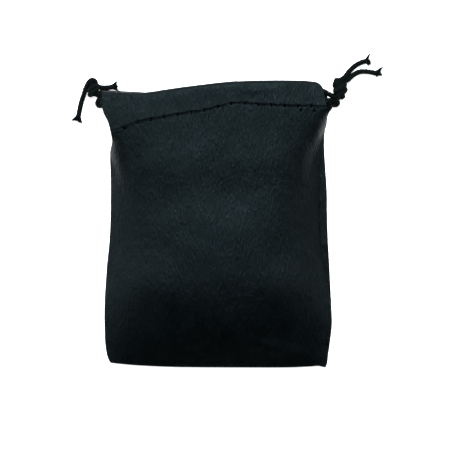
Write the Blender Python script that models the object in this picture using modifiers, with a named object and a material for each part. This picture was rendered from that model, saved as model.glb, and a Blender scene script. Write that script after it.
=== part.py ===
"""A drawstring gift pouch lying on its back: two cloth panels sewn together along three sides, a
hem channel across the top of each, and two drawcords that run through both channels and leave at
opposite sides, where each is tied in a knot with two short tails.

X runs across the pouch, Y up towards its mouth and Z up off the table that it lies on."""

import math

import bmesh
import bpy
import numpy as np
from mathutils import Vector

MM = 0.001

# Driving dimensions, in millimetres
CLOTH = 0.6  # thickness of one panel with its lining of turned cloth
GAP = 0.3  # clearance between pieces that touch
CORD = 2.2  # diameter of a drawcord
THREAD = 0.5  # diameter of a row of sewing thread
BOTTOM = -63.4  # the bottom edge
EDGE_RISE = 3.1  # height of the front panel along the side and bottom seams
CROWN = 12.0  # height of the front panel at its middle
BACK_RISE = 0.3  # height of the back panel, flat on the table
CHANNEL_WALL = 0.5  # thickness of a channel's cloth
CHANNEL_HEIGHT = CORD + 2 * GAP + 2 * CHANNEL_WALL + 0.1
BACK_CHANNEL_Z = CHANNEL_HEIGHT / 2
FRONT_CHANNEL_Z = 6.7  # height of the front channel at its two ends
LIP_ARCH = 4.2  # how much higher the front channel stands at its middle
CHANNEL_LEFT = -48.2
CHANNEL_RIGHT = 46.2
RIGHT_RUN = 3.4  # how far the right drawcord runs below the hem's fold
LEFT_RUN = 6.2  # the same for the left drawcord
ALLOWANCE = 5.8  # width of the seam allowance inside
ALLOWANCE_THICKNESS = 1.0
SEAM_INSET = 0.55  # how far the thread of a side seam lies inside the edge
SEAM_TOP = 7  # how far below the hem's stitches a side seam ends

# The outline of the cloth, as the few points that its shape needs, each run smooth between them
LEFT_EDGE = [(-46.6, BOTTOM), (-49.6, -58), (-50.7, -46), (-48.9, -20), (-46.8, 12), (-46.5, 36), (-50.4, 54)]
RIGHT_EDGE = [(48.4, BOTTOM), (49.6, -58), (50.7, -41), (49.4, -14), (47.9, 25), (47.3, 41), (49.6, 54)]
HEM_FOLD = [(-50.6, 58.7), (-33, 58.3), (-12, 60.6), (3, 62.3), (20, 63.4), (42, 63.0), (48.5, 60)]
HEM_STITCH = [(-50.6, 41), (-44.4, 41.6), (-30, 45.8), (-6, 50.3), (9, 53.5), (30, 52.5), (50.6, 52)]

# Each drawcord's neck, from its channel to its knot, and each tail from the knot to its end
RIGHT_NECK = [(49.4, 57.2), (51.6, 55.5), (53.0, 54.0), (54.3, 54.2)]
LEFT_NECK = [(-51.0, 52.3), (-53.0, 52.9), (-54.0, 54.6), (-54.4, 55.8)]
NECK_HEIGHTS = (4.1, 1.4)
RIGHT_KNOT = (54.5, 60.3, 3.2)
LEFT_KNOT = (-55.5, 60.8, 3.2)
RIGHT_KNOT_SIZE = (7.0, 10.2, 6.0)
LEFT_KNOT_SIZE = (5.6, 8.8, 6.0)
TAILS = {
    "right_tail_upper": [(57.2, 65.4, 3.6), (59.6, 69.0, 2.4), (62.7, 71.6, 1.5), (67.2, 73.4, 1.2)],
    "right_tail_lower": [(58.4, 63.4, 3.0), (61.2, 66.4, 1.9), (65.0, 67.8, 1.3), (71.4, 67.2, 1.2)],
    "left_tail_hanging": [(-59.0, 59.6, 2.6), (-60.6, 55.6, 1.6), (-61.7, 50.8, 1.2), (-62.2, 46.0, 1.2)],
    "left_tail_across": [(-51.8, 61.2, 2.2), (-49.8, 61.3, 1.6), (-47.6, 61.3, 1.3), (-45.0, 61.3, 1.2)],
}

COLOURS = {
    "cloth": ((0.011, 0.016, 0.018), 0.55),
    "cord": ((0.012, 0.013, 0.013), 0.8),
    "thread": ((0.005, 0.006, 0.007), 0.6),
}


def smooth(points, per_span=10):
    """Points along a Catmull-Rom curve through the given points."""
    p = np.array(points, float)
    p = np.vstack([2 * p[0] - p[1], p, 2 * p[-1] - p[-2]])
    made = []
    for a, b, c, d in zip(p, p[1:], p[2:], p[3:]):
        for t in np.arange(per_span) / per_span:
            curve = 2 * b + (c - a) * t + (2 * a - 5 * b + 4 * c - d) * t**2
            made.append(0.5 * (curve + (3 * b - a - 3 * c + d) * t**3))
    return np.array(made + [p[-2]])


def reader(points, given, wanted):
    """A function that reads one coordinate of a smooth run of points from the other."""
    curve = smooth(points)
    return lambda value: float(np.interp(value, curve[:, given], curve[:, wanted]))


left_edge = reader(LEFT_EDGE, 1, 0)
right_edge = reader(RIGHT_EDGE, 1, 0)
hem_fold = reader(HEM_FOLD, 0, 1)
hem_stitch = reader(HEM_STITCH, 0, 1)


def eased(t):
    t = min(max(t, 0), 1)
    return t * t * (3 - 2 * t)


def panel_top(x):
    return hem_stitch(x) - GAP


def across_and_up(x, y):
    """The share of the panel's width and height at which a point lies."""
    return (x - left_edge(y)) / (right_edge(y) - left_edge(y)), (y - BOTTOM) / (panel_top(x) - BOTTOM)


def lip_height(x):
    """Height of the front channel's middle."""
    half_width = (CHANNEL_RIGHT - CHANNEL_LEFT) / 2
    return FRONT_CHANNEL_Z + LIP_ARCH * (1 - min(abs(x) / half_width, 1) ** 3)


def front_height(x, y):
    """Height of the front panel's middle surface."""
    u, v = across_and_up(x, y)
    dome = 1 - abs(2 * u - 1) ** 3
    body = EDGE_RISE + (CROWN - EDGE_RISE) * dome * math.sin(math.pi / 2 * min(max(v / 0.4, 0), 1))
    return body + (lip_height(x) - body) * eased((v - 0.78) / 0.22)


def back_height(x, y):
    """Height of the back panel's middle surface, which lifts to meet its channel."""
    v = across_and_up(x, y)[1]
    return BACK_RISE + (BACK_CHANNEL_Z - BACK_RISE) * eased((v - 0.93) / 0.07)


def material(name):
    made = bpy.data.materials.get(name)
    if made is None:
        colour, roughness = COLOURS[name]
        made = bpy.data.materials.new(name)
        made.use_nodes = True
        shader = made.node_tree.nodes["Principled BSDF"]
        shader.inputs["Base Color"].default_value = (*colour, 1)
        shader.inputs["Roughness"].default_value = roughness
        shader.inputs["Metallic"].default_value = 0
    return made


def add(name, data, finish, collection):
    made = bpy.data.objects.new(name, data)
    data.materials.append(material(finish))
    collection.objects.link(made)
    return made


def solidify(made, thickness, offset=0.0):
    shell = made.modifiers.new("cloth thickness", "SOLIDIFY")
    shell.thickness = thickness * MM
    shell.offset = offset
    shell.use_even_offset = True


def sheet(name, place, cells, thickness, collection):
    """A sheet of cloth: a grid whose points are placed by their share across and up it."""
    mesh = bmesh.new()
    bmesh.ops.create_grid(mesh, x_segments=cells[0], y_segments=cells[1], size=0.5)
    for vert in mesh.verts:
        vert.co = Vector(place(vert.co.x + 0.5, vert.co.y + 0.5)) * MM
    data = bpy.data.meshes.new(name)
    mesh.to_mesh(data)
    mesh.free()
    data.shade_smooth()
    made = add(name, data, "cloth", collection)
    solidify(made, thickness)
    return made


def panel_point(height):
    """Places a share across and up a panel on its surface."""

    def place(u, v):
        y = BOTTOM + v * (panel_top(0) - BOTTOM)
        for _ in range(3):
            x = left_edge(y) + u * (right_edge(y) - left_edge(y))
            y = BOTTOM + v * (panel_top(x) - BOTTOM)
        return x, y, height(x, y)

    return place


def side_allowance(side):
    """The turned-in edges of both panels, lying flat inside a side seam."""
    edge, inward = (left_edge, 1) if side == "left" else (right_edge, -1)
    low, high = BOTTOM + 8.2, hem_stitch(edge(40)) - SEAM_TOP

    def place(u, v):
        y = low + v * (high - low)
        start = 1.2 if inward > 0 else 1.2 + ALLOWANCE
        return edge(y) + inward * (start + inward * u * ALLOWANCE), y, (EDGE_RISE + BACK_RISE) / 2 - 0.1

    return place


def bottom_allowance(u, v):
    y = BOTTOM + 1.6 + v * ALLOWANCE
    low, high = left_edge(y) + 3, right_edge(y) - 3
    return low + u * (high - low), y, (EDGE_RISE + BACK_RISE) / 2 - 0.1


def channel(name, height, collection):
    """A flat tube of cloth across the mouth, between the hem's fold and its stitching."""
    mesh = bmesh.new()
    half_height = CHANNEL_HEIGHT / 2
    sections = []
    for x in np.linspace(CHANNEL_LEFT, CHANNEL_RIGHT, 25):
        middle = (hem_fold(x) + hem_stitch(x)) / 2
        flat = (hem_fold(x) - hem_stitch(x)) / 2 - half_height
        ring = []
        for step in range(12):
            angle = math.pi * (step + 0.5) / 6
            y = middle + math.copysign(flat, math.cos(angle)) + half_height * math.cos(angle)
            ring.append(mesh.verts.new(Vector((x, y, height(x) + half_height * math.sin(angle))) * MM))
        sections.append(ring)
    for ring, after in zip(sections, sections[1:]):
        for k in range(12):
            mesh.faces.new((ring[k], ring[(k + 1) % 12], after[(k + 1) % 12], after[k]))
    bmesh.ops.recalc_face_normals(mesh, faces=mesh.faces)
    data = bpy.data.meshes.new(name)
    mesh.to_mesh(data)
    mesh.free()
    data.shade_smooth()
    made = add(name, data, "cloth", collection)
    solidify(made, CHANNEL_WALL, -1)
    return made


def tube(name, points, diameter, finish, spacing, collection):
    """A cord or thread along a smooth curve through its route's points."""
    dense = smooth(points, 24)
    steps = np.r_[0, np.cumsum(np.linalg.norm(np.diff(dense, axis=0), axis=1))]
    count = max(3, int(steps[-1] / spacing) + 1)
    data = bpy.data.curves.new(name, "CURVE")
    data.dimensions = "3D"
    data.bevel_depth = diameter / 2 * MM
    data.bevel_resolution = 2
    data.use_fill_caps = True
    line = data.splines.new("POLY")
    line.points.add(count - 1)
    for point, along in zip(line.points, np.linspace(0, steps[-1], count)):
        place = [np.interp(along, steps, dense[:, axis]) * MM for axis in range(3)]
        point.co = (*place, 1)
    return add(name, data, finish, collection)


def cord_route(side):
    """From the knot along the front channel, round the far slit and back along the back channel."""
    out = 1 if side == "right" else -1
    drop = RIGHT_RUN if side == "right" else LEFT_RUN
    neck = RIGHT_NECK if side == "right" else LEFT_NECK
    near, far = (46.4, CHANNEL_LEFT - GAP) if side == "right" else (-48.4, CHANNEL_RIGHT + GAP)
    run = [(x, hem_fold(x) - drop) for x in np.linspace(near, far, 9)]
    bend = (lip_height(far) - BACK_CHANNEL_Z) / 2
    route = [(x, y, NECK_HEIGHTS[0]) for x, y in neck[::-1]]
    route += [(x, y, lip_height(x)) for x, y in run]
    for angle in (30, 60, 90, 120, 150):
        turn = math.radians(angle)
        x = far - out * bend * math.sin(turn) * 0.75
        route.append((x, run[-1][1], BACK_CHANNEL_Z + bend * (1 + math.cos(turn))))
    route += [(x, y, BACK_CHANNEL_Z) for x, y in run[::-1]]
    route += [(x, y, NECK_HEIGHTS[1]) for x, y in neck]
    return route


def knot(name, centre, size, collection):
    """The outer shape of a doubled overhand knot."""
    mesh = bmesh.new()
    bmesh.ops.create_uvsphere(mesh, u_segments=16, v_segments=10, radius=0.5)
    for vert in mesh.verts:
        squarer = vert.co * (1 + 0.5 * (0.25 - vert.co.z**2))
        vert.co = Vector(a * b for a, b in zip(squarer / 1.125, size)) * MM
    data = bpy.data.meshes.new(name)
    mesh.to_mesh(data)
    mesh.free()
    data.shade_smooth()
    made = add(name, data, "cord", collection)
    made.location = Vector(centre) * MM
    return made


def bar_tack(name, x, collection):
    """A short dense bar of stitches across the foot of a side slit, joining the two panels."""
    y = hem_stitch(x) - 2.4
    low = back_height(x, y) + CLOTH / 2 + GAP
    high = front_height(x, y) - CLOTH / 2 - 3 * GAP
    bpy.ops.mesh.primitive_cube_add(size=MM)
    made = bpy.context.object
    made.name = made.data.name = name
    for vert in made.data.vertices:
        vert.co = Vector(a * b for a, b in zip(vert.co, (2.4, 1.2, high - low)))
    made.location = Vector((x, y, (low + high) / 2)) * MM
    made.data.materials.append(material("thread"))
    bevel = made.modifiers.new("soft edges", "BEVEL")
    bevel.width = 0.25 * MM
    bevel.segments = 2
    for holder in made.users_collection:
        holder.objects.unlink(made)
    collection.objects.link(made)
    return made


def side_thread(side):
    edge, inward = (left_edge, 1) if side == "left" else (right_edge, -1)
    high = hem_stitch(edge(40)) - SEAM_TOP
    height = (EDGE_RISE + BACK_RISE) / 2 - 0.1
    return [(edge(y) + inward * SEAM_INSET, y, height) for y in np.linspace(BOTTOM + 5, high, 9)]


def hem_thread(height, below):
    """A row of stitches just below a channel."""
    xs = np.linspace(-44.4, 44.8, 14)
    return [(x, hem_stitch(x) - below, height(x, hem_stitch(x) - below)) for x in xs]


def build():
    for old in list(bpy.data.objects):
        bpy.data.objects.remove(old, do_unlink=True)
    pouch = bpy.data.collections.new("drawstring_gift_pouch")
    bpy.context.scene.collection.children.link(pouch)

    sheet("front_panel", panel_point(front_height), (14, 18), CLOTH, pouch)
    sheet("back_panel", panel_point(back_height), (10, 18), CLOTH, pouch)
    channel("front_channel", lip_height, pouch)
    channel("back_channel", lambda x: BACK_CHANNEL_Z, pouch)
    for side in ("left", "right"):
        sheet(f"{side}_seam_allowance", side_allowance(side), (2, 14), ALLOWANCE_THICKNESS, pouch)
        tube(f"{side}_seam_thread", side_thread(side), THREAD, "thread", 6, pouch)
    sheet("bottom_seam_allowance", bottom_allowance, (12, 2), ALLOWANCE_THICKNESS, pouch)
    height = (EDGE_RISE + BACK_RISE) / 2 - 0.1
    bottom_row = [(x, BOTTOM + 0.9, height) for x in np.linspace(-44, 46, 5)]
    tube("bottom_seam_thread", bottom_row, THREAD, "thread", 10, pouch)

    above = CLOTH / 2 + GAP + THREAD / 2
    front_row = hem_thread(lambda x, y: front_height(x, y) + above, 1.1)
    for x, y in ((46.0, 50.5), (44.8, 50.0), (41.0, 50.0), (37.0, 50.1)):
        front_row.append((x, y, front_height(x, y) + above))
    tube("front_channel_stitching", front_row, THREAD, "thread", 2.2, pouch)
    back_row = hem_thread(lambda x, y: back_height(x, y) - above, 0.9)
    tube("back_channel_stitching", back_row, THREAD, "thread", 4, pouch)

    bar_tack("left_bar_tack", -44.6, pouch)
    bar_tack("right_bar_tack", 44.4, pouch)
    for side in ("left", "right"):
        tube(f"{side}_drawcord", cord_route(side), CORD, "cord", 3.4, pouch)
    knot("left_knot", LEFT_KNOT, LEFT_KNOT_SIZE, pouch)
    knot("right_knot", RIGHT_KNOT, RIGHT_KNOT_SIZE, pouch)
    for name, route in TAILS.items():
        tube(name, route, CORD, "cord", 2.6, pouch)


build()
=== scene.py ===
"""The looks of the drawstring gift pouch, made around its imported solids: sateen panels with a hem
channel, rows of stitches, and two braided drawcords tied in doubled knots with frayed tails.

Lengths are in millimetres until a mesh is made. X runs across the pouch, Y up to its mouth, Z up."""

import math

import bpy
import numpy as np
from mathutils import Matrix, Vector, noise


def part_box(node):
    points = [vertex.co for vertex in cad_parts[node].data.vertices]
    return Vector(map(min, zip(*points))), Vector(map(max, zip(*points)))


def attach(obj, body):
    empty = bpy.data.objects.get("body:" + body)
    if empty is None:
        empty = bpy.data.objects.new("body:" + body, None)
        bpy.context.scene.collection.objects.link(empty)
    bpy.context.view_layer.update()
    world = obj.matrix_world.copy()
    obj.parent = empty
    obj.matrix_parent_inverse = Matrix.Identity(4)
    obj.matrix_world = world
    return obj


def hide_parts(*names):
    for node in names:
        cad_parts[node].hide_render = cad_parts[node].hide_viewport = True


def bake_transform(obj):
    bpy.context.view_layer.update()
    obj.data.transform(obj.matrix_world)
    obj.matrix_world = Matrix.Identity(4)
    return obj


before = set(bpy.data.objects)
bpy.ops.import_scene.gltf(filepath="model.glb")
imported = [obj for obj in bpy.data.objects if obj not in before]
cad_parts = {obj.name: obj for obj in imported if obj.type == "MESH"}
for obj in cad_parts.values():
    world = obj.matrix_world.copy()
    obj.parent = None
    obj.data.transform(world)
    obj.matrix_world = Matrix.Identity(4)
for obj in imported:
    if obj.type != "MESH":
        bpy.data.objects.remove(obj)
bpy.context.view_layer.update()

MM = 0.001

CORD = 2.2  # diameter of a drawcord
CLOTH = 0.32  # thickness of the sateen
SEAM_HEIGHT = 1.5  # where the front panel meets the back one
CROWN = 11.4  # height of the front panel at its middle
SEAM_ROLL = 0.45  # radius that the cloth turns through into a seam
LOWEST = 0.2  # the cloth's outer face is nowhere lower
BACK_CHANNEL_Z = 1.9
BACK_STITCH_Z = BACK_CHANNEL_Z - 0.2
FOOT_RISE = 0.4  # share of the panel's height over which it swells up from the bottom seam
LIP_END_Z = 6.4  # height of the front channel at its ends
LIP_ARCH = 2.4  # how much higher it stands at its middle
LIP_DROOP = 0.5  # how much lower the fold lies than the stitches
HALF_MOUTH = 48  # from the middle line to the end of a channel
PANEL_FOOT, PANEL_TALL = -63.0, 115  # the lower end of a panel, and how tall it is up to the stitches

# The outline of the cloth, as the few points that its shape needs, each run smooth between them
LEFT_EDGE = [
    (-47.4, -62.0), (-48.4, -60.6), (-49.3, -58), (-50.1, -52), (-50.4, -42), (-50.2, -33),
    (-49.3, -19), (-48.1, -7), (-47.6, 6), (-47.6, 20), (-47.9, 29.5), (-47.8, 32.8), (-47.1, 35.2),
    (-46.8, 37.2), (-47.2, 40), (-48.6, 46), (-51.0, 51.5), (-51.2, 60),
]
BACK_LEFT_EDGE = LEFT_EDGE[:-2] + [(-51.3, 51.6), (-52.2, 53.6), (-52.6, 57), (-52.6, 60.4)]
RIGHT_EDGE = [
    (48.2, -63.8), (49.1, -61.7), (49.4, -58), (50.3, -52), (51.1, -44), (50.7, -34), (49.9, -18),
    (49.3, -7), (48.9, 6), (48.8, 15), (47.9, 28.7), (47.6, 36), (47.9, 41.5), (48.7, 44),
    (48.9, 47), (49.4, 49.2), (51.0, 51.4), (51.3, 52.5), (51.0, 53.6), (50.4, 54.6), (49.4, 55.4),
    (47.9, 56.2), (47.4, 57.8), (47.2, 60), (45.6, 62.6),
]
CREASE = [
    (48.2, -63.8), (49.1, -61.7), (49.4, -58), (50.3, -52), (51.0, -44), (50.4, -34), (47.8, -20),
    (46.1, -9), (45.5, 4), (45.5, 15), (45.6, 25), (46.1, 31), (47.0, 37), (47.9, 42), (48.5, 47),
    (48.7, 49.6), (48.6, 51.6), (48.3, 53.6), (47.9, 55.6), (47.5, 57.6), (47.2, 60), (45.6, 62.6),
]
BOTTOM = [
    (-50, -61.2), (-47.6, -61.8), (-36.6, -62.9), (-18.9, -63.7), (6, -63.9), (30, -63.9),
    (41, -63.5), (44.9, -63.2), (47.7, -63.8), (50, -63.9),
]
HEM_FOLD = [
    (-52, 59.2), (-44, 58.8), (-38.5, 58.5), (-33, 58.5), (-28.5, 59.0), (-15.7, 60.9), (3.4, 63.2),
    (11, 63.6), (19.5, 63.9), (36.6, 63.9), (42.1, 63.5), (45.1, 62.9), (47.3, 60.2), (51, 56),
]
BACK_FOLD = [
    (-52.5, 60.3), (-50, 60.0), (-47, 59.5), (-44, 59.4), (-38.5, 59.2), (-33, 58.9), (-28.5, 58.9),
    (-15.7, 60.5), (3.4, 62.8), (11, 63.2), (19.5, 63.5), (36.6, 63.5), (42.1, 63.1), (45.1, 62.5),
    (47.3, 59.8), (51, 55.6),
]
HEM_STITCH = [
    (-52, 41.0), (-46, 41.2), (-42.2, 42.3), (-37.6, 44.1), (-34.4, 45.4), (-29.3, 46.5),
    (-17.5, 48.6), (-6.1, 50.4), (-0.2, 51.9), (6.2, 53.4), (12.1, 53.6), (18, 53.0), (30.7, 52.5),
    (43, 52.3), (52, 52.2),
]
FIRST_HOLE, LAST_HOLE, STITCH_PITCH = -41.3, 44.6, 5.93


def smooth(points, per_span=12):
    """Points along a Catmull-Rom curve through the given points."""
    p = np.array(points, float)
    p = np.vstack([2 * p[0] - p[1], p, 2 * p[-1] - p[-2]])
    t = (np.arange(per_span) / per_span)[:, None]
    made = []
    for a, b, c, d in zip(p, p[1:], p[2:], p[3:]):
        curve = 2 * b + (c - a) * t + (2 * a - 5 * b + 4 * c - d) * t**2
        made.append(0.5 * (curve + (3 * b - a - 3 * c + d) * t**3))
    return np.vstack(made + [p[-2:-1]])


def evenly(points, spacing):
    """Points a steady distance apart along a smooth curve."""
    dense = smooth(points, 30)
    for _ in range(40):
        dense[1:-1] = dense[1:-1] / 2 + (dense[:-2] + dense[2:]) / 4
    along = np.r_[0, np.cumsum(np.linalg.norm(np.diff(dense, axis=0), axis=1))]
    wanted = np.linspace(0, along[-1], max(3, int(along[-1] / spacing) + 1))
    return np.stack([np.interp(wanted, along, dense[:, k]) for k in range(3)], 1)


def reader(points, given, wanted):
    curve = smooth(points)
    order = np.argsort(curve[:, given])
    return lambda value: np.interp(value, curve[order, given], curve[order, wanted])


left_edge = reader(LEFT_EDGE, 1, 0)
back_left_edge = reader(BACK_LEFT_EDGE, 1, 0)
right_edge = reader(RIGHT_EDGE, 1, 0)
crease = reader(CREASE, 1, 0)
bottom = reader(BOTTOM, 0, 1)
hem_fold = reader(HEM_FOLD, 0, 1)
back_fold = reader(BACK_FOLD, 0, 1)
hem_stitch = reader(HEM_STITCH, 0, 1)


def eased(t):
    t = np.clip(t, 0, 1)
    return t * t * (3 - 2 * t)


def lip_height(x):
    """Height of the middle of the front channel."""
    return LIP_END_Z + LIP_ARCH * (1 - np.clip(np.abs(x) / HALF_MOUTH, 0, 1) ** 3)


def channel_half(x):
    """Half the thickness of a channel, thinner at its ends."""
    return 1.85 - 0.25 * np.clip(np.abs(x) / HALF_MOUTH, 0, 1) ** 4


STITCH_LIFT = 1.6  # how far the stitched foot of the front channel stands above its middle


def soft_noise(x, y, size, seed):
    """Smooth unevenness from -1 to 1, with bumps of about the given size."""
    flat = zip(np.ravel(x) / size, np.ravel(y) / size)
    values = [noise.noise(Vector((a, b, seed))) for a, b in flat]
    return np.array(values).reshape(np.shape(x)) * 1.4


# ---- materials ----


def principled(name, colour, roughness):
    made = bpy.data.materials.new(name)
    made.use_nodes = True
    shader = made.node_tree.nodes["Principled BSDF"]
    shader.inputs["Base Color"].default_value = (*colour, 1)
    shader.inputs["Roughness"].default_value = roughness
    return made, made.node_tree, shader


def node(tree, kind, inputs=(), **settings):
    made = tree.nodes.new(kind)
    for name, value in settings.items():
        setattr(made, name, value)
    for name, value in dict(inputs).items():
        if isinstance(value, bpy.types.NodeSocket):
            tree.links.new(value, made.inputs[name])
        else:
            made.inputs[name].default_value = value
    return made


def mapped(tree, scale):
    """The sheet's own flat coordinates, a unit being 100 mm, scaled."""
    uv = node(tree, "ShaderNodeUVMap", uv_map="flat")
    return node(tree, "ShaderNodeMapping", {"Vector": uv.outputs[0], "Scale": scale}).outputs[0]


def noise_of(tree, scale, detail):
    """Noise stretched over the flat cloth."""
    made = node(tree, "ShaderNodeTexNoise", {"Vector": mapped(tree, scale), "Scale": 1.0, "Detail": detail})
    return made.outputs[0]


def sateen():
    """Black sateen: long floats that read as fine streaks up the cloth, over a soft unevenness."""
    made, tree, shader = principled("black_sateen", (0.0006, 0.0010, 0.0013), 0.5)
    streaks = noise_of(tree, (230, 60, 1), 3.0)
    slubs = noise_of(tree, (100, 26, 1), 2.0)
    cloud = noise_of(tree, (13, 8, 1), 4.0)
    floats = mapped(tree, (1, 1, 1))
    ribs = {"Vector": floats, "Scale": 105.0, "Distortion": 1.5, "Detail": 2.0}
    threads = node(tree, "ShaderNodeTexWave", ribs)
    both = node(tree, "ShaderNodeMath", {0: streaks, 1: slubs}, operation="ADD").outputs[0]
    mixed = node(tree, "ShaderNodeMath", {0: both, 1: cloud}, operation="ADD").outputs[0]
    shade = node(tree, "ShaderNodeMapRange", {"Value": mixed, "From Min": 1.34, "From Max": 1.66})
    colour = node(tree, "ShaderNodeMix", {"Factor": shade.outputs[0]}, data_type="RGBA")
    colour.inputs[6].default_value = (0.0, 0.00004, 0.00006, 1)
    colour.inputs[7].default_value = (0.00022, 0.0004, 0.0005, 1)
    tree.links.new(colour.outputs[2], shader.inputs["Base Color"])
    worn = {"Value": mixed, "From Min": 1.1, "From Max": 1.9, "To Min": 0.58, "To Max": 0.31}
    rough = node(tree, "ShaderNodeMapRange", worn)
    tree.links.new(rough.outputs[0], shader.inputs["Roughness"])
    uneven = node(tree, "ShaderNodeBump", {"Height": mixed, "Strength": 1.0, "Distance": 0.00031})
    fine = {"Height": threads.outputs[1], "Strength": 0.25, "Distance": 0.00005, "Normal": uneven.outputs[0]}
    bump = node(tree, "ShaderNodeBump", fine)
    tree.links.new(bump.outputs[0], shader.inputs["Normal"])
    shader.inputs["Specular IOR Level"].default_value = 0.079
    shader.inputs["Specular Tint"].default_value = (0.61, 0.90, 1.0, 1)
    shader.inputs["Sheen Weight"].default_value = 0.0008
    shader.inputs["Sheen Roughness"].default_value = 0.35
    return made


def braid(name, colour, lighter, gloss=0.04):
    """Soft cord braided from fine strands."""
    made, tree, shader = principled(name, colour, 0.75)
    strands = {"Vector": mapped(tree, (8, 60, 1)), "Scale": 1.0, "Distortion": 0.6}
    plaits = node(tree, "ShaderNodeTexWave", strands)
    fibres = {"Vector": mapped(tree, (60, 200, 1)), "Scale": 1.0, "Detail": 3.0}
    fuzz = node(tree, "ShaderNodeTexNoise", fibres)
    both = node(tree, "ShaderNodeMath", {0: plaits.outputs[1], 1: fuzz.outputs[0]}, operation="MULTIPLY")
    tone = node(tree, "ShaderNodeMix", {"Factor": both.outputs[0]}, data_type="RGBA")
    tone.inputs[6].default_value = (*colour, 1)
    tone.inputs[7].default_value = (*lighter, 1)
    tree.links.new(tone.outputs[2], shader.inputs["Base Color"])
    bump = node(tree, "ShaderNodeBump", {"Height": both.outputs[0], "Strength": 0.5, "Distance": 0.0001})
    tree.links.new(bump.outputs[0], shader.inputs["Normal"])
    shader.inputs["Specular IOR Level"].default_value = gloss
    shader.inputs["Specular Tint"].default_value = (0.75, 0.95, 1.0, 1)
    shader.inputs["Sheen Weight"].default_value = 0.08 * gloss
    return made


MATERIALS = {
    "cloth": sateen(),
    "cord": braid("black_braided_cord", (0.0003, 0.0005, 0.0005), (0.0024, 0.0038, 0.0038)),
    # thread with no gloss, so that its lumps at the needle holes stay dark as painted shade of the holes
    "thread": braid("black_sewing_thread", (0.0001, 0.0002, 0.0003), (0.0004, 0.0007, 0.0008), 0.0),
    "lint": braid("pale_lint", (0.11, 0.09, 0.10), (0.17, 0.15, 0.16)),
}


# ---- meshes ----


def mesh_piece(name, points, faces, finish, uvs=None):
    data = bpy.data.meshes.new(name)
    data.from_pydata([tuple(p) for p in np.asarray(points) * MM], [], faces)
    if uvs is not None:
        layer = data.uv_layers.new(name="flat")
        corners = np.zeros(len(data.loops), int)
        data.loops.foreach_get("vertex_index", corners)
        layer.data.foreach_set("uv", np.asarray(uvs, np.float32)[corners].ravel())
    data.shade_smooth()
    data.materials.append(MATERIALS[finish])
    made = bpy.data.objects.new(name, data)
    bpy.context.scene.collection.objects.link(made)
    return made


class Tubes:
    """Gathers tubes, each a run of rings along a path, into the points and faces of one mesh."""

    def __init__(self):
        self.points, self.faces, self.uvs = [], [], []

    def add(self, path, radius, sides=10, relief=None):
        path = np.asarray(path, float)
        count = len(path)
        along = np.r_[0, np.cumsum(np.linalg.norm(np.diff(path, axis=0), axis=1))]
        tangent = np.gradient(path, axis=0)
        tangent /= np.linalg.norm(tangent, axis=1)[:, None]
        normal = np.cross(tangent[0], (0.31, 0.22, 0.92))
        first = len(self.points)
        radii = np.broadcast_to(radius, count)
        angles = np.arange(sides) * 2 * math.pi / sides
        for k in range(count):
            normal = normal - tangent[k] * (normal @ tangent[k])
            normal /= np.linalg.norm(normal)
            other = np.cross(tangent[k], normal)
            grown = radii[k] * (1 + (relief(angles, along[k]) if relief else 0 * angles))
            ring = path[k] + np.outer(grown * np.cos(angles), normal)
            ring = ring + np.outer(grown * np.sin(angles), other)
            self.points.extend(ring)
            self.uvs.extend([(a / (2 * math.pi), along[k] / 100) for a in angles])
        for k in range(count - 1):
            for a in range(sides):
                b = (a + 1) % sides
                low, high = first + k * sides, first + (k + 1) * sides
                self.faces.append((low + a, low + b, high + b, high + a))
        self.faces.append(tuple(first + a for a in reversed(range(sides))))
        self.faces.append(tuple(first + (count - 1) * sides + a for a in range(sides)))

    def made(self, name, finish):
        return mesh_piece(name, self.points, self.faces, finish, self.uvs)


# ---- camera, light and floor ----


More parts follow.
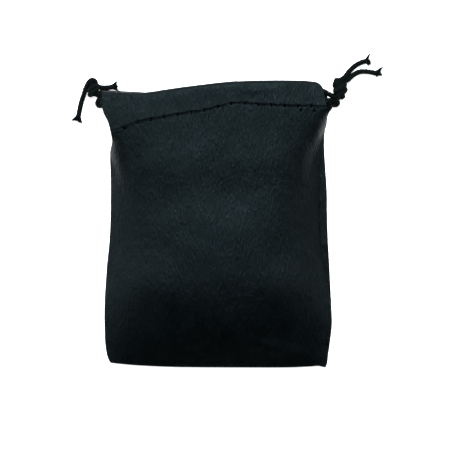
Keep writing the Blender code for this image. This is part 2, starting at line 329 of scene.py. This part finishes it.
def set_stage():
    data = bpy.data.cameras.new("camera")
    height, field = 1500.0, 200.0
    data.sensor_width = 36
    data.lens = data.sensor_width * height / field
    camera = bpy.data.objects.new("camera", data)
    camera.location = Vector((3.4, -0.4, height + 5)) * MM
    bpy.context.scene.collection.objects.link(camera)
    bpy.context.scene.camera = camera

    world = bpy.data.worlds.new("studio")
    world.use_nodes = True
    tree = world.node_tree
    background = tree.nodes["Background"]
    background.inputs[1].default_value = 1.0
    toward = node(tree, "ShaderNodeTexCoord").outputs["Generated"]
    # bright low down at the back and the sides, dark overhead and in front of the pouch's foot
    facing = node(tree, "ShaderNodeSeparateXYZ", {0: toward}).outputs
    walls = {"Value": facing[2], "From Min": 0.12, "From Max": 0.52, "To Min": 1.5, "To Max": 0.010}
    glow = node(tree, "ShaderNodeMapRange", walls).outputs[0]
    ahead = {"Value": facing[1], "From Min": -0.45, "From Max": 0.05, "To Min": 0.0, "To Max": 1.0}
    dimmed = node(tree, "ShaderNodeMapRange", ahead).outputs[0]
    light = node(tree, "ShaderNodeMath", {0: glow, 1: dimmed}, operation="MULTIPLY").outputs[0]
    tree.links.new(light, background.inputs[0])
    bpy.context.scene.world = world
    bpy.context.scene.view_settings.view_transform = "Standard"

    floor, tree, shader = principled("white_floor", (0.9, 0.9, 0.9), 0.9)
    shader.inputs["Specular IOR Level"].default_value = 0.1
    shader.inputs["Emission Color"].default_value = (1, 1, 1, 1)
    shader.inputs["Emission Strength"].default_value = 0.8
    grain = node(tree, "ShaderNodeTexNoise", {"Scale": 900.0, "Detail": 2.0})
    bump = node(tree, "ShaderNodeBump", {"Height": grain.outputs[0], "Strength": 0.05, "Distance": 0.0001})
    tree.links.new(bump.outputs[0], shader.inputs["Normal"])
    bpy.ops.mesh.primitive_plane_add(size=2.5, location=(0, 0, -0.00005))
    plane = bpy.context.object
    plane.name = "floor"
    plane.data.materials.append(floor)

    # name, place in metres, width, power in watts and colour
    for name, place, size, power, colour in (
        ("key", (0.0, 0.41, 0.715), 0.5, 21.5, (0.90, 0.98, 1.0)),
        ("fill_left", (-1.3, 0.2, 0.66), 0.8, 12.5, (0.80, 0.96, 1.0)),
        ("fill_right", (1.3, 0.2, 0.66), 0.8, 3.2, (0.70, 0.95, 1.0)),
    ):
        lamp = bpy.data.lights.new(name, "AREA")
        lamp.size = size
        lamp.energy = power
        lamp.color = colour
        made = bpy.data.objects.new(name, lamp)
        made.location = place
        made.rotation_euler = (-Vector(place)).to_track_quat("-Z", "Y").to_euler()
        bpy.context.scene.collection.objects.link(made)


# ---- the two drawcords ----

RIGHT_RUN = 3.4  # how far the right drawcord runs below the hem's fold
LEFT_RUN = 6.2
CORD_SAG = 0.55  # how far a drawcord lies below the middle of the front channel
CORD_SPACING = 0.55  # distance between the rings of a cord's mesh
# Each cord's given places: the necks from the slit to the knot, how far the runs move aside at
# the far end, the knot's centre, axis and size, how it is entered and left, and the two tails
CORDS = {
    "right": {
        "necks": (
            [(47.6, 58.9, 4.9), (49.6, 57.8, 4.4), (51.4, 56.9, 4.0), (52.8, 56.4, 3.8)],
            [
                (47.4, 54.8, 2.1), (49.2, 54.9, 2.4), (51.3, 55.2, 3.0), (53.3, 54.6, 2.8), (53.4, 53.4, 1.9),
                (51.9, 53.1, 1.5), (50.9, 53.8, 1.3), (51.8, 54.9, 1.3), (53.0, 55.6, 1.6),
            ],
        ),
        "shifts": (0.0, -2.6),
        "knot": (54.5, 60.3, 3.3),
        "axis": (-0.13, 0.99),
        "scale": (1.0, 1.1),
        "enter": -1.6,
        "leave": ((1.0, 3.3), (-0.7, 2.6)),
        "tails": (
            [(56.6, 65.2, 3.4), (58.6, 67.9, 2.4), (61.2, 70.4, 1.6), (64.2, 72.1, 1.3), (66.8, 72.7, 1.2)],
            [(57.6, 63.9, 2.6), (60.3, 66.3, 1.8), (63.6, 67.9, 1.4), (67.4, 67.9, 1.2), (71.0, 67.1, 1.2)],
        ),
    },
    "left": {
        "necks": (
            [(-50.0, 57.6, 4.9), (-51.4, 58.2, 4.3), (-52.9, 58.3, 3.8)],
            [
                (-50.4, 53.6, 2.0), (-51.9, 52.7, 1.7), (-53.4, 53.2, 1.5), (-53.1, 54.7, 1.7),
                (-52.3, 56.2, 2.1), (-53.0, 57.4, 2.6),
            ],
        ),
        "shifts": (3.2, 0.0),
        "knot": (-55.4, 60.7, 3.3),
        "axis": (-0.05, 0.99),
        "scale": (0.72, 0.84),
        "enter": 1.6,
        "leave": ((1.0, 0.6), (1.8, 2.2)),
        "tails": (
            [(-53.3, 61.2, 2.8), (-51.3, 60.8, 1.8), (-48.8, 60.8, 1.4), (-46.2, 61.2, 1.3)],
            [
                (-54.5, 63.6, 3.6), (-55.7, 64.1, 3.8), (-57.0, 63.3, 3.7), (-58.2, 61.2, 3.0),
                (-59.4, 57.9, 2.0), (-60.8, 53.4, 1.4), (-62.1, 47.3, 1.2),
            ],
        ),
    },
}


STRAND_APART = 0.62  # half the distance between the two strands in the middle of a knot
COIL_REACH = 2.45  # from a knot's axis to the strand that goes round it
COIL_STEPS, COIL_STEP_ANGLE, COIL_DROP = 9, 43, 4.0


def knot_path(side, strand):
    """One strand of the doubled overhand knot, from the neck to its tail: up the middle, over and
    once round the outside beside the other strand, then up the middle again."""
    cord = CORDS[side]
    wide, tall = cord["scale"]
    shift = STRAND_APART if strand else -STRAND_APART
    enter = cord["enter"]
    path = [(enter + shift * 0.4, 0.3, -3.6), (enter * 0.4 + shift * 0.9, 0.3, -1.8), (shift, 0.2, 1.4)]
    path.append((shift * 0.8, -0.6, 4.1 - 1.9 * strand))
    top = 2.4 - 2.0 * strand
    for turn in range(COIL_STEPS):
        angle = math.radians(-80 + turn * COIL_STEP_ANGLE)
        reach = COIL_REACH if 0 < turn < COIL_STEPS - 1 else 2.1
        height = top - COIL_DROP * turn / COIL_STEPS + 0.7 * math.sin(angle)
        path.append((reach * math.sin(angle), -reach * math.cos(angle), height))
    path += [(-shift * 1.1, 0.9, -3.7 + 0.3 * strand), (-shift, -0.5, -2.2), (-shift, -0.6, -0.4)]
    aside, ahead = cord["leave"][strand]
    path += [(aside, -0.5, ahead)]
    axis = np.array((*cord["axis"], 0.0))
    across = np.array((cord["axis"][1], -cord["axis"][0], 0.0))
    up = np.array((0, 0, 0.86))
    centre = np.array(cord["knot"])
    return [centre + across * p * wide + up * q * max(wide, 0.9) + axis * a * tall for p, q, a in path]


def cord_route(side):
    """The whole cord: tail, knot, front channel, round the far slit, back channel, knot and tail."""
    out = 1 if side == "right" else -1
    cord = CORDS[side]
    drop = RIGHT_RUN if side == "right" else LEFT_RUN
    near, far = (45.4, -48.5) if side == "right" else (-48.0, 46.5)
    runs = []
    for shift in cord["shifts"]:
        places = np.linspace(near, far, 11)
        moved = shift * eased((out * places - 30) / 16)
        runs.append([(x, float(hem_fold(x)) - drop + d) for x, d in zip(places, moved)])
    bend = (float(lip_height(far)) - BACK_CHANNEL_Z) / 2
    half = [cord["tails"][0][::-1], knot_path(side, 0)[::-1], cord["necks"][0][::-1]]
    half += [[(x, y, float(lip_height(x)) - CORD_SAG) for x, y in runs[0]]]
    turns = [math.radians(angle) for angle in (30, 60, 90, 120, 150)]
    foot = runs[0][-1][1]
    slit = [
        (far - out * bend * math.sin(t) * 0.8, foot, BACK_CHANNEL_Z + bend * (1 + math.cos(t)))
        for t in turns
    ]
    other = [[(x, y, BACK_CHANNEL_Z) for x, y in runs[1][::-1]], cord["necks"][1]]
    other += [knot_path(side, 1), cord["tails"][1]]
    points = [p for part in half for p in part] + slit + [p for part in other for p in part]
    return evenly([tuple(map(float, p)) for p in points], CORD_SPACING)


BRAID_PITCH = 3.6


def braided(angles, along):
    """The low relief of a round braid: two sets of strands that cross."""
    turn = 2 * math.pi * along / BRAID_PITCH
    return 0.045 * (np.abs(np.sin(2 * (angles - turn / 2))) + np.abs(np.sin(2 * (angles + turn / 2)))) - 0.05


def frayed_end(side, index, edge):
    """The cut end of a tail, splayed into a fan of strands that reach an uneven edge."""
    chance = np.random.default_rng(10 * index + (side == "left"))
    tail = CORDS[side]["tails"][index]
    root, before = np.array(tail[-1], float), np.array(tail[-2], float)
    ahead = (root - before) / np.linalg.norm(root - before)
    aside = np.array((-ahead[1], ahead[0], 0.0))
    rim = np.array(edge, float)
    along = np.r_[0, np.cumsum(np.linalg.norm(np.diff(rim, axis=0), axis=1))]
    tubes = Tubes()
    for share in np.linspace(0, 1, STRANDS):
        tip = np.array([np.interp(share * along[-1], along, rim[:, k]) for k in (0, 1)])
        spread = np.clip((tip - root[:2]) @ aside[:2] / 2.5, -1, 1)
        tip = np.array((*tip, 0.8 + 0.9 * chance.random()))
        start = root - ahead * 2.6 + aside * spread * 0.55
        middle = root - ahead * 0.6 + aside * spread * 0.8
        lean = (tip - middle) * 0.5 + middle + ahead * 0.2 * (1 - abs(spread))
        path = evenly([start, middle, lean, tip], 0.2)
        thick = np.linspace(0, 1, len(path))
        tubes.add(path, STRAND_RADIUS * (1 - 0.6 * thick**2.4), 8)
        for _ in range(THREADS):
            drift = chance.normal(0, 0.22, 3) * (1, 1, 0.5)
            thread = evenly([middle, lean + drift * 0.6, tip + drift * 1.5], 0.25)
            thread[:, 2] = np.maximum(thread[:, 2], 0.15)
            tubes.add(thread, np.linspace(0.10, 0.04, len(thread)), 5)
    made = tubes.made(f"{side}_frayed_end_{index + 1}", "cord")
    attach(made, f"{side}_cord_end")
    return made


def loose_filament():
    """A pale filament curled at the end of the tail that lies across the pouch."""
    count = 26
    turn = np.linspace(math.radians(200), math.radians(-95), count)
    wide = np.linspace(0.62, 0.85, count)
    across, up = -43.75 + wide * np.cos(turn), 61.4 + wide * np.sin(turn)
    tubes = Tubes()
    tubes.add(np.stack([across, up, 1.1 + 0.3 * np.sin(turn / 2)], 1), np.linspace(0.15, 0.11, count), 6)
    made = tubes.made("left_loose_filament", "lint")
    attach(made, "left_cord_end")
    return made


STRANDS = 11  # in each fan
STRAND_RADIUS = 0.48  # at its root
THREADS = 3  # thinner loose threads beside each strand
FRAYS = {  # the uneven edge that each fan of strands reaches
    "right": (
        [(68.1, 76.0), (67.4, 74.4), (68.3, 72.9), (68.5, 71.3), (67.3, 70.6)],
        [(74.2, 70.4), (73.4, 69.3), (73.0, 67.7), (73.8, 66.4), (72.4, 66.2), (71.1, 65.4)],
    ),
    "left": (
        [(-44.4, 63.8), (-45.0, 62.6), (-44.2, 61.3), (-44.9, 60.6), (-43.7, 59.3)],
        [(-65.0, 46.2), (-63.6, 46.1), (-62.6, 46.0), (-61.6, 45.3), (-60.2, 44.8)],
    ),
}
TAIL_NODES = {
    "right": ("right_tail_upper", "right_tail_lower"),
    "left": ("left_tail_hanging", "left_tail_across"),
}


def make_cord(side):
    path = cord_route(side)
    tubes = Tubes()
    tubes.add(path, 1.04 * CORD / 2, 14, braided)
    made = tubes.made(f"{side}_cord_whole", "cord")
    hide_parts(f"{side}_drawcord", f"{side}_knot", *TAIL_NODES[side])
    frays = [frayed_end(side, k, FRAYS[side][k]) for k in (0, 1)]
    if side == "left":
        frays.append(loose_filament())
    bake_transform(made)
    return made


# ---- the cloth ----


def front_body(x, share, rise):
    """Height of the front panel, from its share of the way out to the edge and up to the hem."""
    dome = 1 - np.clip(share, 0, 1) ** 3
    foot = 1 - (1 - np.clip(rise / FOOT_RISE, 0, 1)) ** 2.2
    body = SEAM_HEIGHT + (CROWN - SEAM_HEIGHT) * dome * foot
    opens = 0.38 + 0.52 * np.clip(share, 0, 1) ** 4
    return body + (lip_height(x) + STITCH_LIFT - body) * eased((rise - opens) / (1 - opens))


def back_body(x, share, rise):
    """Height of the back panel, flat on the table and turned up a little at its seams."""
    lift = 0.4 * np.maximum(eased((share - 0.9) / 0.1), eased(1 - rise / 0.04))
    body = LOWEST + lift
    return body + (BACK_STITCH_Z - body) * eased((rise - 0.93) / 0.07)


def rolled(x, y, share, edge, rise):
    """How far the cloth turns down as it rolls over into its seams."""
    inside = np.minimum((1 - share) * abs(edge), y - bottom(x))
    short = 1 - np.clip(inside / SEAM_ROLL, 0, 1)
    return SEAM_ROLL * (1 - np.sqrt(1 - short**2)) * (1 - eased((rise - 0.94) / 0.05))


# Soft hollows and swellings of the cloth: place, half sizes, turn in degrees, and height
SOFT_FOLDS = (
    (6, 11, 17, 9, 12, -0.55),
    (-26, -27, 15, 9, -10, 0.50),
    (30, -29, 12, 8, 15, 0.40),
    (6, -44, 13, 10, 0, 0.50),
    (27, -56, 15, 3.0, -14, 0.85),
    (-22, 26, 13, 8, 20, 0.35),
    (31, 27, 11, 10, -20, 0.35),
    (-37, 4, 8, 20, 5, 0.30),
    (36, -6, 8, 18, 0, 0.30),
    (17, 60.5, 12, 3.2, 0, 0.30),
    (-20, 56, 14, 3.0, 9, 0.22),
)


def folds(x, y, rise):
    """Soft unevenness of the cloth, with small pleats that run down from the hem."""
    near_hem = eased((rise - 0.45) / 0.55)
    pleats = np.sin(x * 0.72 + 1.3 * np.sin(x * 0.13 + 0.5) + y * 0.012) * 0.11 * near_hem
    slack = 0.30 * soft_noise(x, y, 24, 1.5) + 0.13 * soft_noise(x, y * 0.8, 9, 7.2)
    for across, up, wide, tall, turn, height in SOFT_FOLDS:
        c, s = math.cos(math.radians(turn)), math.sin(math.radians(turn))
        u, v = (x - across) * c + (y - up) * s, (y - up) * c - (x - across) * s
        slack = slack + height * np.exp(-((u / wide) ** 2) - (v / tall) ** 2)
    return pleats + slack * np.sin(np.pi / 2 * np.clip(rise / 0.12, 0, 1))


LAP = 1.6  # the halves of a panel cross and dive under each other this far past the middle line
LAP_DEPTH = 0.08
ROLL_REACH = SEAM_ROLL * 1.3  # the stretch by a seam that has finer columns and rows
BACK_INSET = 0.25  # how far the back panel's left edge lies inside its outline
COLUMNS = 62
EDGE_COLUMNS = (0.0, 0.25, 0.45, 0.62, 0.76, 0.87, 0.95, 1.0)  # shares of the roll into the seam
BODY_ROWS = 84
NEAR_STITCH = 2.4  # the rows are finer within this distance of the hem's stitches
# Steps up the outside of the hem channel, and down its turned-in cloth past the stitches
HEM_OUT = (0.02, 0.045, 0.075, 0.11, 0.15, 0.20, 0.26, 0.34, 0.42, 0.5, 0.6, 0.7, 0.8, 0.9, 1.0)
HEM_IN = (1.0, 0.88, 0.76, 0.64, 0.52, 0.4, 0.28, 0.18, 0.1, 0.03, -0.06)
HEM_LEDGE = 0.14  # the edge of the turned hem stands this far above its stitches


def hem_profile(part, step, x, front):
    """How far a layer of the channel stands from the channel's middle, at a step up the hem."""
    half = channel_half(x)
    if not front:
        return half * np.clip(np.sin(np.pi / 2 * np.clip(step / 0.35, 0, 1)), 0.1, 1)
    if part == "out":
        raised = STITCH_LIFT + HEM_LEDGE * eased(step / 0.06)
        return raised + (half - STITCH_LIFT - HEM_LEDGE) * eased(step / 0.9)
    turned_in = half * np.sin(np.pi / 2 * np.clip(step / 0.45, 0, 1))
    return turned_in - (STITCH_LIFT - 0.25) * (1 - eased(step / 0.4))


def half_sheet(name, side, front):
    """Half of a panel, from the middle line to its side edge: the body, the outside of the hem
    channel, its fold, and the turned-in cloth down to the row of stitches."""
    if side == "right":
        edge = crease if front else right_edge
    else:
        edge = left_edge if front else back_left_edge
    fold_line = hem_fold if front else back_fold
    body = front_body if front else back_body
    middle = lip_height if front else (lambda x: BACK_CHANNEL_Z + 0 * x)
    outward = 1 if front else -1
    hand = 1 if side == "right" else -1
    margin = ROLL_REACH / HALF_MOUTH
    lap_share = LAP / 47
    near_seam = 1 - margin + margin * np.array(EDGE_COLUMNS[1:])
    share = np.r_[-lap_share, -lap_share / 2, np.linspace(0, 1 - margin, COLUMNS), near_seam]
    inset = BACK_INSET if (side == "left" and not front) else 0.0
    rows, flats = [], []

    def edge_at(y):
        return share * (edge(y) - hand * inset)

    def row_at(rise):
        y = PANEL_FOOT + rise * PANEL_TALL
        for _ in range(4):
            x = edge_at(y)
            y = bottom(x) + rise * (hem_stitch(x) - bottom(x))
        return x, y

    def add(x, y, z, flat_y):
        lap = np.clip(-hand * x / LAP, 0, 1)
        rows.append(np.stack([x, y, z - LAP_DEPTH * lap**2 * (1 if front else -1)], 1))
        flats.append(np.stack([x, flat_y], 1))

    fine = 1 - np.linspace(NEAR_STITCH, 0, 7) / PANEL_TALL
    coarse = np.linspace(0, 1, BODY_ROWS + 1)
    first = np.array(EDGE_COLUMNS[::-1])
    first = (1 - first) * ROLL_REACH / PANEL_TALL
    for rise in np.r_[first, coarse[(coarse > 0.009) & (coarse < fine[0] - 0.004)], fine]:
        x, y = row_at(rise)
        z = body(x, share, rise) - outward * rolled(x, y, share, edge(y), rise)
        wave = folds(x, y, rise) * np.clip((1 - share) / 0.08, 0, 1)
        add(x, y, z + (wave if front else np.maximum(0.15 * wave, 0)), y)
    x_top, stitch = row_at(1.0)
    for part, steps in (("out", HEM_OUT), ("turn", np.linspace(15, 165, 7)), ("in", HEM_IN)):
        for step in steps:
            x = edge_at(stitch + (fold_line(x_top) - stitch) * (step if part != "turn" else 1.0))
            half = channel_half(x)
            fold = fold_line(x) - half
            if part == "turn":
                y = fold + half * math.sin(math.radians(step))
                z = middle(x) + outward * half * math.cos(math.radians(step))
            else:
                y = stitch + (fold - stitch) * step
                reach = hem_profile(part, max(step, 0), x, front)
                z = middle(x) + outward * (reach if part == "out" else -reach)
            if front:
                z = z - LIP_DROOP * (1 if part == "turn" else max(step, 0))
            waver = folds(x, y, 1.0) + 0.10 * soft_noise(x, y, 7, 3.3)
            z = z + (waver if front else 0) * np.clip((1 - share) / 0.05, 0.15, 1)
            unrolled = {"out": step, "turn": 1.1, "in": 2.2 - max(step, 0)}[part]
            add(x, y, z, stitch + unrolled * (fold - stitch))
    points, across = np.concatenate(rows), len(share)
    outer = len(rows) - len(HEM_IN) - 7
    dimple_stitches(points, outer * across, front)
    points[:, 2] = np.maximum(points[:, 2], LOWEST)
    faces = []
    for j in range(len(rows) - 1):
        for i in range(across - 1):
            a, b = j * across + i, (j + 1) * across + i
            quad = (a, a + 1, b + 1, b)
            faces.append(quad if (side == "right") == front else quad[::-1])
    return mesh_piece(name, points, faces, "cloth", np.concatenate(flats) / 100)


def stitch_places(low, high):
    """The two needle holes of each stitch along the hem."""
    found, x = [], low
    while x < high:
        found.append((x, min(x + STITCH_PITCH * 0.86, high)))
        x += STITCH_PITCH
    return found


HOLE_DEPTH, GROOVE_DEPTH = 0.42, 0.05


def dimple_stitches(points, outer, front):
    """Draws the cloth in at each needle hole of the row of stitches, and a little along the row."""
    sign = -1 if front else 0.5
    holes = np.array([a for a, _ in stitch_places(FIRST_HOLE, LAST_HOLE)])
    near = np.abs(points[:outer, None, 0] - holes[None]).min(1)
    off = points[:outer, 1] - hem_stitch(points[:outer, 0])
    hole = HOLE_DEPTH * np.exp(-((near / 0.6) ** 2) - (off / 0.55) ** 2)
    groove = GROOVE_DEPTH * np.exp(-((off / 0.5) ** 2))
    points[:outer, 2] += sign * (hole + groove)


def gathered(piece):
    """Bakes the piece's placement into its mesh."""
    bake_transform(piece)
    return piece


def finish_cloth(piece):
    refine = piece.modifiers.new("refine", "SUBSURF")
    refine.levels = refine.render_levels = 1
    shell = piece.modifiers.new("thickness", "SOLIDIFY")
    shell.thickness = CLOTH * MM
    shell.offset = -1


def make_cloth():
    for side in ("left", "right"):
        for layer in ("front", "back"):
            made = half_sheet(f"{layer}_cloth_{side}", side, layer == "front")
            finish_cloth(made)
            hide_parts(f"{layer}_panel", f"{layer}_channel")
            gathered(made)


def front_z(x, y):
    """Height of the front panel's outer face below its hem."""
    edge = crease(y) if x > 0 else left_edge(y)
    share = abs(x / edge)
    rise = (y - bottom(x)) / (hem_stitch(x) - bottom(x))
    x, y = np.array([x]), np.array([y])
    z = front_body(x, np.array([share]), np.array([rise]))
    return float(z[0] + folds(x, y, np.array([min(rise, 1)]))[0])


def hem_height(x):
    """Height of the front hem where it is stitched."""
    slack = folds(np.array([x]), np.array([float(hem_stitch(x))]), np.array([1.0]))[0]
    return float(lip_height(x)) + STITCH_LIFT + float(slack)


STITCH_RADIUS = 0.09
HOLE_SHADE_LUMP_RADIUS, HOLE_SHADE_LUMP_HALF = 0.46, 0.55  # a dark lump of thread at each needle hole, longer up the cloth: partly the thread there, partly painted shade standing in for the shaded hole
BACK_TACK_DROP = 1.7  # how far the short doubled row lies below the hem's stitches


def add_stitch(tubes, a, b, along, height, up):
    """A stitch that lies along the cloth between two needle holes, with a dark lump of thread at the first,
    which is also painted shade for the needle hole.
    """
    xs = np.linspace(a, b, 13)
    arch = np.sin(np.linspace(0, math.pi, 13)) ** 0.4
    path = [(x, along(x), height(x) + up * (0.40 * k - 0.36)) for x, k in zip(xs, arch)]
    tubes.add(path, STITCH_RADIUS, 7)
    # the lump: thread at the needle hole, made fat and dark as painted shade for the hole
    across = np.linspace(-HOLE_SHADE_LUMP_HALF, HOLE_SHADE_LUMP_HALF, 5)
    hole_shade_lump = [(a, along(a) + d, height(a) + up * (0.02 - 0.3 * d * d)) for d in across]
    tubes.add(hole_shade_lump, HOLE_SHADE_LUMP_RADIUS, 10)


def make_stitches():
    for side in ("left", "right"):
        front, back = Tubes(), Tubes()
        pairs = stitch_places(FIRST_HOLE, LAST_HOLE)
        wanted = [pair for pair in pairs if (sum(pair) > 0) == (side == "right")]
        for a, b in wanted:
            add_stitch(front, a, b, hem_stitch, hem_height, 1)
            add_stitch(back, a, b, hem_stitch, lambda x: BACK_STITCH_Z, -1)
        if side == "right":
            below = lambda x: hem_stitch(x) - BACK_TACK_DROP
            for a, b in stitch_places(37.0, 44.4)[:2]:
                add_stitch(front, a, b, below, lambda x: front_z(x, below(x)), 1)
        for layer, tubes in (("front", front), ("back", back)):
            made = tubes.made(f"{layer}_hem_stitches_{side}", "thread")
            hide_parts(f"{layer}_channel_stitching")
            gathered(made)


ALLOWANCE_POINTS = 6  # across a turned-in seam allowance
SIDE_SEAM_Z = 1.15
LOCK_PITCH, LOCK_LENGTH, LOCK_BOW = 2.6, 2.0, 0.12  # of the lock stitches in a seam
LOCK_RADIUS = 0.14


def turned_in(name, cad_node, rows, flipped):
    """The two layers of a seam allowance, from rows of points that run in from the seam."""
    points = np.array(rows).reshape(-1, 3)
    faces = []
    for j in range(len(rows) - 1):
        for i in range(ALLOWANCE_POINTS - 1):
            a, b = j * ALLOWANCE_POINTS + i, (j + 1) * ALLOWANCE_POINTS + i
            faces.append((b, b + 1, a + 1, a) if flipped else (a, a + 1, b + 1, b))
    made = mesh_piece(name, points, faces, "cloth", points[:, :2] / 100)
    shell = made.modifiers.new("two layers", "SOLIDIFY")
    shell.thickness = 2 * CLOTH * MM
    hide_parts(cad_node)
    return made


def lock_stitches(name, cad_node, starts, place):
    """A row of lock stitches, each bowed a little off the cloth between its ends."""
    tubes = Tubes()
    for start in starts:
        path = []
        for d in np.linspace(0, LOCK_LENGTH, 5):
            x, y, z = place(start + d)
            path.append((x, y, z + LOCK_BOW * math.sin(math.pi * d / LOCK_LENGTH)))
        tubes.add(path, LOCK_RADIUS, 6)
    made = tubes.made(name, "thread")
    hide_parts(cad_node)
    return made


def make_side_seam(side):
    edge, inward = (left_edge, 1) if side == "left" else (crease, -1)
    top = float(hem_stitch(edge(38))) - 5
    reach = np.linspace(0.8, 7.5, ALLOWANCE_POINTS)
    rows = []
    for y in np.linspace(-54, top, 58):
        ripple = 0.25 * math.sin(y * 0.5)
        side_x = float(edge(y))
        rows.append([(side_x + inward * d, y, SIDE_SEAM_Z + 0.12 * d + ripple * d / 8) for d in reach])
    gathered(turned_in(f"{side}_seam_turning", f"{side}_seam_allowance", rows, False))

    def place(y):
        return float(edge(y)) + inward * 0.55, y, SIDE_SEAM_Z

    starts = np.arange(-53, top - 2, LOCK_PITCH)
    gathered(lock_stitches(f"{side}_seam_stitches", f"{side}_seam_thread", starts, place))


def make_bottom_seam():
    reach = np.linspace(1.6, 7.2, ALLOWANCE_POINTS)
    rows = [[(x, float(bottom(x)) + d, 0.85 + 0.06 * d) for d in reach] for x in np.linspace(-40, 43, 60)]
    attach(turned_in("bottom_seam_turning", "bottom_seam_allowance", rows, True), "pouch")

    def place(x):
        return x, float(bottom(x)) + 1.2, 0.9

    starts = np.arange(-40, 43, LOCK_PITCH)
    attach(lock_stitches("bottom_seam_stitches", "bottom_seam_thread", starts, place), "pouch")


def make_seams():
    """The turned-in allowances inside the seams, each with its row of lock stitches."""
    for side in ("left", "right"):
        make_side_seam(side)
    make_bottom_seam()


TACK_TURNS, TACK_HALF_WIDTH = 22, 1.1


def make_bar_tacks():
    """A dense zigzag of thread across the foot of each side slit."""
    for side in ("left", "right"):
        low, high = (np.array(corner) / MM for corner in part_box(f"{side}_bar_tack"))
        centre = (low + high) / 2
        tubes = Tubes()
        path = []
        for k in range(TACK_TURNS):
            reach = TACK_HALF_WIDTH if k % 2 else -TACK_HALF_WIDTH
            height = low[2] + 0.2 + (high[2] - low[2] - 0.4) * k / (TACK_TURNS - 1)
            path.append((centre[0] + reach, centre[1], height))
        tubes.add(evenly(path, 0.25), 0.16, 6)
        made = tubes.made(f"{side}_slit_bar_tack", "thread")
        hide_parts(f"{side}_bar_tack")
        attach(made, f"{side}_mouth")


set_stage()
for side in ("right", "left"):
    make_cord(side)
make_cloth()
make_stitches()
make_seams()
make_bar_tacks()
